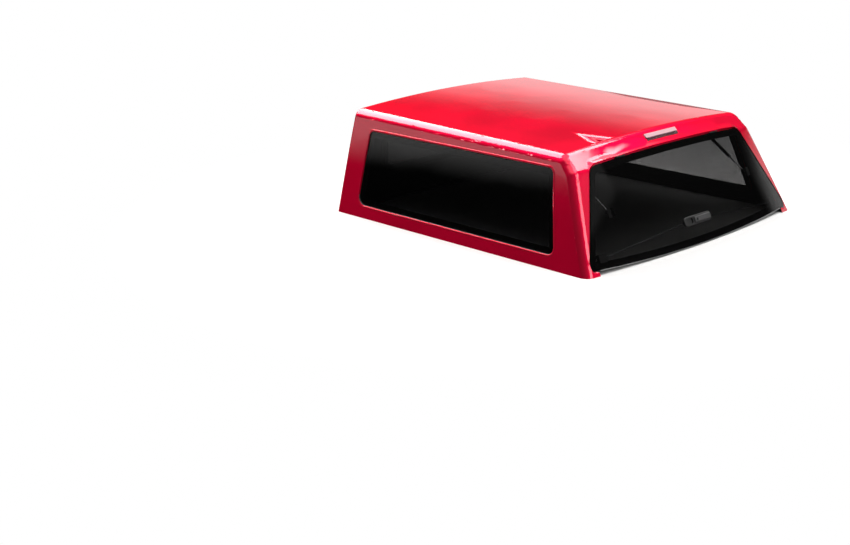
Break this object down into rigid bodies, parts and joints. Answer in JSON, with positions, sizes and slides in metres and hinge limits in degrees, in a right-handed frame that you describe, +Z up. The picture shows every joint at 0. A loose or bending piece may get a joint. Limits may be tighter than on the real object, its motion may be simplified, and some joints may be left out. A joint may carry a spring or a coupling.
{
  "type": "truck canopy",
  "caption": "Hard canopy for a pickup truck's load bed: crowned shell, tinted side windows and a raked frameless glass door that lifts on gas struts.",
  "frame": {"origin": "middle of the bounding box at the base plane that sits on the bed rails", "axes": "+Z up, +Y forward to the cab, +X to the right-hand side"},
  "size_m": [1.786, 1.927, 0.6024],
  "materials": {
    "paint": "gloss",
    "felt": "matte",
    "tinted_glass": "gloss",
    "rubber": "matte",
    "black_plastic": "satin",
    "clear_lens": "gloss",
    "steel": "satin",
    "black_metal": "satin",
    "rod_chrome": "polished",
    "lamp_lens": "gloss",
    "foam": "matte",
    "trim_metal": "satin",
    "chrome": "polished"
  },
  "bodies": {
    "frame": {"shell": "paint", "headliner": "felt", "side_glass_left": "tinted_glass", "side_glass_right": "tinted_glass", "side_seal_left": "rubber", "side_seal_right": "rubber", "front_gasket": "rubber", "front_glass": "tinted_glass", "dome_base": "black_plastic", "dome_lens": "clear_lens", "door_seal": "rubber", "hinge_leaf_left": "steel", "hinge_leaf_right": "steel", "hinge_pin_left": "steel", "hinge_pin_right": "steel", "strut_bracket_left": "steel", "strut_bracket_right": "steel", "striker_left": "steel", "striker_right": "steel", "lamp_housing": "black_plastic", "lamp_lens": "lamp_lens", "lamp_leds": "black_plastic", "foam_left": "foam", "foam_right": "foam", "foam_front": "foam"},
    "rear_door": {"door_glass": "tinted_glass", "door_trim": "trim_metal", "hinge_knuckle_left": "steel", "hinge_knuckle_right": "steel", "strut_foot_left": "steel", "strut_foot_right": "steel", "handle_base": "black_plastic", "handle_grip": "black_plastic", "lock_cylinder": "chrome", "handle_gearbox": "black_metal", "latch_left": "black_metal", "latch_right": "black_metal", "latch_rod_left": "steel", "latch_rod_right": "steel"},
    "strut_tube_left": {"strut_tube_left": "black_metal"},
    "strut_rod_left": {"strut_rod_left": "rod_chrome"},
    "strut_tube_right": {"strut_tube_right": "black_metal"},
    "strut_rod_right": {"strut_rod_right": "rod_chrome"}
  },
  "joints": [
    {"name": "rear_door_hinge", "type": "hinge", "parent": "frame", "child": "rear_door", "pos_m": [0, -0.71261, 0.49683], "axis": [-1, 0, 0], "range_deg": [0, 60]},
    {"name": "strut_tube_left_pivot", "type": "hinge", "parent": "frame", "child": "strut_tube_left", "pos_m": [-0.59, -0.54861, 0.42583], "axis": [-1, 0, 0], "range_deg": [0, 37.41]},
    {"name": "strut_rod_left_slide", "type": "slide", "parent": "strut_tube_left", "child": "strut_rod_left", "axis": [0, -0.8253, -0.5648], "range_m": [0, 0.11549]},
    {"name": "strut_tube_right_pivot", "type": "hinge", "parent": "frame", "child": "strut_tube_right", "pos_m": [0.59, -0.54861, 0.42583], "axis": [-1, 0, 0], "range_deg": [0, 37.41]},
    {"name": "strut_rod_right_slide", "type": "slide", "parent": "strut_tube_right", "child": "strut_rod_right", "axis": [0, -0.8253, -0.5648], "range_m": [0, 0.11549]}
  ],
  "couplings": [
    {"joint": "strut_tube_left_pivot", "follows": "rear_door_hinge", "ratio": 0.62261},
    {"joint": "strut_rod_left_slide", "follows": "rear_door_hinge", "m_per_rad": 0.1098},
    {"joint": "strut_tube_right_pivot", "follows": "rear_door_hinge", "ratio": 0.62261},
    {"joint": "strut_rod_right_slide", "follows": "rear_door_hinge", "m_per_rad": 0.1098}
  ]
}
